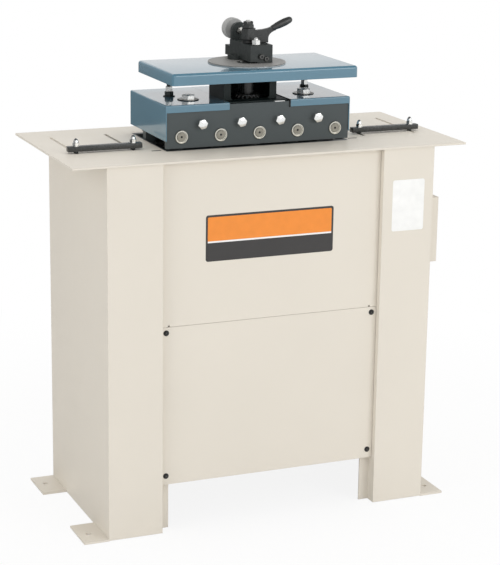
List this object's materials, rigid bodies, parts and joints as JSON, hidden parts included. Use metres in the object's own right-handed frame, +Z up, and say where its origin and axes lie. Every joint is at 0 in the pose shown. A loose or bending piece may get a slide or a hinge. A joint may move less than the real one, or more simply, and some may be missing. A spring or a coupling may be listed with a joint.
{
  "type": "lock forming machine",
  "caption": "Floor-standing sheet-metal lock former: a geared roll forming head on a cabinet table, with a power flanging attachment above it.",
  "frame": {"origin": "on the floor under the middle of the table", "axes": "+Z up, +X along the sheet's travel, -Y towards the operator at the front panels"},
  "size_m": [1.005, 0.467, 1.208],
  "materials": {
    "left_leg": "cream powder coat, semi-gloss",
    "right_leg": "cream powder coat, semi-gloss",
    "table_top": "cream powder coat, semi-gloss",
    "upper_front_panel": "cream powder coat, semi-gloss",
    "lower_front_panel": "cream powder coat, semi-gloss",
    "rear_panel": "cream powder coat, semi-gloss",
    "switch_box": "cream powder coat, semi-gloss",
    "left_cover": "blue-grey gloss paint",
    "right_cover": "blue-grey gloss paint",
    "tray": "blue-grey gloss paint",
    "motor_shelf": "dark grey satin paint",
    "lower_frame": "dark grey satin paint",
    "front_bearing_plate": "dark grey satin paint",
    "rear_bearing_plate": "dark grey satin paint",
    "flanger_bracket": "black oxide, satin",
    "left_tray_stud": "black oxide, satin",
    "right_tray_stud": "black oxide, satin",
    "flanger_block": "black oxide, satin",
    "clamp_lever": "black oxide, satin",
    "clamp_nut": "black oxide, satin",
    "left_guide_bar": "black oxide, satin",
    "right_guide_bar": "black oxide, satin",
    "left_cover_nut": "bright zinc plate",
    "right_cover_nut": "bright zinc plate",
    "acorn_nut": "bright zinc plate",
    "bushing_1": "bright zinc plate",
    "bushing_2": "bright zinc plate",
    "bushing_3": "bright zinc plate",
    "bushing_4": "bright zinc plate",
    "bushing_5": "bright zinc plate",
    "tie_bolt_1": "bright zinc plate",
    "tie_bolt_2": "bright zinc plate",
    "tie_bolt_3": "bright zinc plate",
    "tie_bolt_4": "bright zinc plate",
    "motor_pulley": "machined",
    "driven_pulley": "machined",
    "tray_disc": "machined",
    "flanger_cross_shaft": "machined",
    "flanger_spindle": "machined",
    "idler_gear_1": "machined",
    "idler_gear_2": "machined",
    "idler_gear_3": "machined",
    "idler_gear_4": "machined",
    "upper_spindle_1": "ground, dark",
    "lower_spindle_1": "ground, dark",
    "upper_spindle_2": "ground, dark",
    "lower_spindle_2": "ground, dark",
    "upper_spindle_3": "ground, dark",
    "lower_spindle_3": "ground, dark",
    "upper_spindle_4": "ground, dark",
    "lower_spindle_4": "ground, dark",
    "upper_spindle_5": "ground, dark",
    "lower_spindle_5": "ground, dark",
    "adjusting_wheel": "dull grey",
    "drive_belt": "black",
    "gear_motor": "grey satin paint",
    "start_button": "green, gloss",
    "stop_button": "red, gloss",
    "cable_gland": "black"
  },
  "bodies": {
    "cabinet": {"left_leg": "left_leg", "right_leg": "right_leg", "table_top": "table_top", "upper_front_panel": "upper_front_panel", "lower_front_panel": "lower_front_panel", "rear_panel": "rear_panel", "switch_box": "switch_box", "left_cover": "left_cover", "right_cover": "right_cover", "tray": "tray", "motor_shelf": "motor_shelf", "lower_frame": "lower_frame", "front_bearing_plate": "front_bearing_plate", "rear_bearing_plate": "rear_bearing_plate", "flanger_bracket": "flanger_bracket", "left_tray_stud": "left_tray_stud", "right_tray_stud": "right_tray_stud", "flanger_block": "flanger_block", "left_cover_nut": "left_cover_nut", "right_cover_nut": "right_cover_nut", "acorn_nut": "acorn_nut", "bushing_1": "bushing_1", "bushing_2": "bushing_2", "bushing_3": "bushing_3", "bushing_4": "bushing_4", "bushing_5": "bushing_5", "tie_bolt_1": "tie_bolt_1", "tie_bolt_2": "tie_bolt_2", "tie_bolt_3": "tie_bolt_3", "tie_bolt_4": "tie_bolt_4", "tray_disc": "tray_disc", "drive_belt": "drive_belt", "gear_motor": "gear_motor", "cable_gland": "cable_gland"},
    "motor_pulley": {"motor_pulley": "motor_pulley"},
    "flanger_cross_shaft": {"flanger_cross_shaft": "flanger_cross_shaft"},
    "flanger_spindle": {"flanger_spindle": "flanger_spindle"},
    "clamp_lever": {"clamp_lever": "clamp_lever"},
    "clamp_nut": {"clamp_nut": "clamp_nut"},
    "adjusting_wheel": {"adjusting_wheel": "adjusting_wheel"},
    "left_guide_bar": {"left_guide_bar": "left_guide_bar"},
    "right_guide_bar": {"right_guide_bar": "right_guide_bar"},
    "start_button": {"start_button": "start_button"},
    "stop_button": {"stop_button": "stop_button"},
    "upper_spindle_1": {"upper_spindle_1": "upper_spindle_1"},
    "upper_spindle_2": {"upper_spindle_2": "upper_spindle_2"},
    "upper_spindle_3": {"upper_spindle_3": "upper_spindle_3"},
    "upper_spindle_4": {"upper_spindle_4": "upper_spindle_4"},
    "upper_spindle_5": {"upper_spindle_5": "upper_spindle_5"},
    "lower_spindle_1": {"lower_spindle_1": "lower_spindle_1"},
    "lower_spindle_2": {"lower_spindle_2": "lower_spindle_2"},
    "lower_spindle_3": {"lower_spindle_3": "lower_spindle_3", "driven_pulley": "driven_pulley"},
    "lower_spindle_4": {"lower_spindle_4": "lower_spindle_4"},
    "lower_spindle_5": {"lower_spindle_5": "lower_spindle_5"},
    "idler_gear_1": {"idler_gear_1": "idler_gear_1"},
    "idler_gear_2": {"idler_gear_2": "idler_gear_2"},
    "idler_gear_3": {"idler_gear_3": "idler_gear_3"},
    "idler_gear_4": {"idler_gear_4": "idler_gear_4"}
  },
  "joints": [
    {"name": "lower_spindle_1_turn", "type": "hinge", "parent": "cabinet", "child": "lower_spindle_1", "pos_m": [-0.1935, 0, 0.886], "axis": [0, 1, 0], "continuous": true},
    {"name": "upper_spindle_1_turn", "type": "hinge", "parent": "cabinet", "child": "upper_spindle_1", "pos_m": [-0.1935, 0, 0.946], "axis": [0, 1, 0], "continuous": true},
    {"name": "lower_spindle_2_turn", "type": "hinge", "parent": "cabinet", "child": "lower_spindle_2", "pos_m": [-0.0935, 0, 0.886], "axis": [0, 1, 0], "continuous": true},
    {"name": "upper_spindle_2_turn", "type": "hinge", "parent": "cabinet", "child": "upper_spindle_2", "pos_m": [-0.0935, 0, 0.946], "axis": [0, 1, 0], "continuous": true},
    {"name": "lower_spindle_3_turn", "type": "hinge", "parent": "cabinet", "child": "lower_spindle_3", "pos_m": [0.0065, 0, 0.886], "axis": [0, 1, 0], "continuous": true},
    {"name": "upper_spindle_3_turn", "type": "hinge", "parent": "cabinet", "child": "upper_spindle_3", "pos_m": [0.0065, 0, 0.946], "axis": [0, 1, 0], "continuous": true},
    {"name": "lower_spindle_4_turn", "type": "hinge", "parent": "cabinet", "child": "lower_spindle_4", "pos_m": [0.1065, 0, 0.886], "axis": [0, 1, 0], "continuous": true},
    {"name": "upper_spindle_4_turn", "type": "hinge", "parent": "cabinet", "child": "upper_spindle_4", "pos_m": [0.1065, 0, 0.946], "axis": [0, 1, 0], "continuous": true},
    {"name": "lower_spindle_5_turn", "type": "hinge", "parent": "cabinet", "child": "lower_spindle_5", "pos_m": [0.2065, 0, 0.886], "axis": [0, 1, 0], "continuous": true},
    {"name": "upper_spindle_5_turn", "type": "hinge", "parent": "cabinet", "child": "upper_spindle_5", "pos_m": [0.2065, 0, 0.946], "axis": [0, 1, 0], "continuous": true},
    {"name": "idler_gear_1_turn", "type": "hinge", "parent": "cabinet", "child": "idler_gear_1", "pos_m": [-0.1435, 0, 0.97539], "axis": [0, 1, 0], "continuous": true},
    {"name": "idler_gear_2_turn", "type": "hinge", "parent": "cabinet", "child": "idler_gear_2", "pos_m": [-0.0435, 0, 0.97539], "axis": [0, 1, 0], "continuous": true},
    {"name": "idler_gear_3_turn", "type": "hinge", "parent": "cabinet", "child": "idler_gear_3", "pos_m": [0.0565, 0, 0.97539], "axis": [0, 1, 0], "continuous": true},
    {"name": "idler_gear_4_turn", "type": "hinge", "parent": "cabinet", "child": "idler_gear_4", "pos_m": [0.1565, 0, 0.97539], "axis": [0, 1, 0], "continuous": true},
    {"name": "flanger_cross_shaft_turn", "type": "hinge", "parent": "cabinet", "child": "flanger_cross_shaft", "pos_m": [0.0065, 0, 0.994], "axis": [0, 1, 0], "continuous": true},
    {"name": "flanger_spindle_turn", "type": "hinge", "parent": "cabinet", "child": "flanger_spindle", "pos_m": [0.0065, -0.027, 1.06], "axis": [0, 0, 1], "continuous": true},
    {"name": "motor_pulley_turn", "type": "hinge", "parent": "cabinet", "child": "motor_pulley", "pos_m": [0.0065, 0, 0.3953], "axis": [0, 1, 0], "continuous": true},
    {"name": "adjusting_wheel_turn", "type": "hinge", "parent": "cabinet", "child": "adjusting_wheel", "pos_m": [0.0245, 0, 1.1685], "axis": [0, 1, 0], "continuous": true},
    {"name": "clamp_lever_turn", "type": "hinge", "parent": "cabinet", "child": "clamp_lever", "pos_m": [0.014, -0.012, 1.17], "axis": [0, 0, 1], "range_deg": [-40, 45]},
    {"name": "clamp_nut_turn", "type": "hinge", "parent": "cabinet", "child": "clamp_nut", "pos_m": [0.014, -0.012, 1.19], "axis": [0, 0, 1], "range_deg": [-90, 90]},
    {"name": "left_guide_bar_slide", "type": "slide", "parent": "cabinet", "child": "left_guide_bar", "axis": [0, 1, 0], "range_m": [-0.006, 0.2]},
    {"name": "right_guide_bar_slide", "type": "slide", "parent": "cabinet", "child": "right_guide_bar", "axis": [0, 1, 0], "range_m": [-0.025, 0.185]},
    {"name": "start_button_slide", "type": "slide", "parent": "cabinet", "child": "start_button", "axis": [-1, 0, 0], "range_m": [0, 0.003], "stiffness_N_per_m": 400},
    {"name": "stop_button_slide", "type": "slide", "parent": "cabinet", "child": "stop_button", "axis": [-1, 0, 0], "range_m": [0, 0.004], "stiffness_N_per_m": 400}
  ],
  "couplings": [
    {"joint": "lower_spindle_1_turn", "follows": "lower_spindle_3_turn", "ratio": 1},
    {"joint": "upper_spindle_1_turn", "follows": "lower_spindle_3_turn", "ratio": -1},
    {"joint": "lower_spindle_2_turn", "follows": "lower_spindle_3_turn", "ratio": 1},
    {"joint": "upper_spindle_2_turn", "follows": "lower_spindle_3_turn", "ratio": -1},
    {"joint": "upper_spindle_3_turn", "follows": "lower_spindle_3_turn", "ratio": -1},
    {"joint": "lower_spindle_4_turn", "follows": "lower_spindle_3_turn", "ratio": 1},
    {"joint": "upper_spindle_4_turn", "follows": "lower_spindle_3_turn", "ratio": -1},
    {"joint": "lower_spindle_5_turn", "follows": "lower_spindle_3_turn", "ratio": 1},
    {"joint": "upper_spindle_5_turn", "follows": "lower_spindle_3_turn", "ratio": -1},
    {"joint": "idler_gear_1_turn", "follows": "lower_spindle_3_turn", "ratio": 1.0714},
    {"joint": "idler_gear_2_turn", "follows": "lower_spindle_3_turn", "ratio": 1.0714},
    {"joint": "idler_gear_3_turn", "follows": "lower_spindle_3_turn", "ratio": 1.0714},
    {"joint": "idler_gear_4_turn", "follows": "lower_spindle_3_turn", "ratio": 1.0714},
    {"joint": "flanger_cross_shaft_turn", "follows": "lower_spindle_3_turn", "ratio": 1.6667},
    {"joint": "flanger_spindle_turn", "follows": "lower_spindle_3_turn", "ratio": -1.5625},
    {"joint": "motor_pulley_turn", "follows": "lower_spindle_3_turn", "ratio": 2}
  ]
}
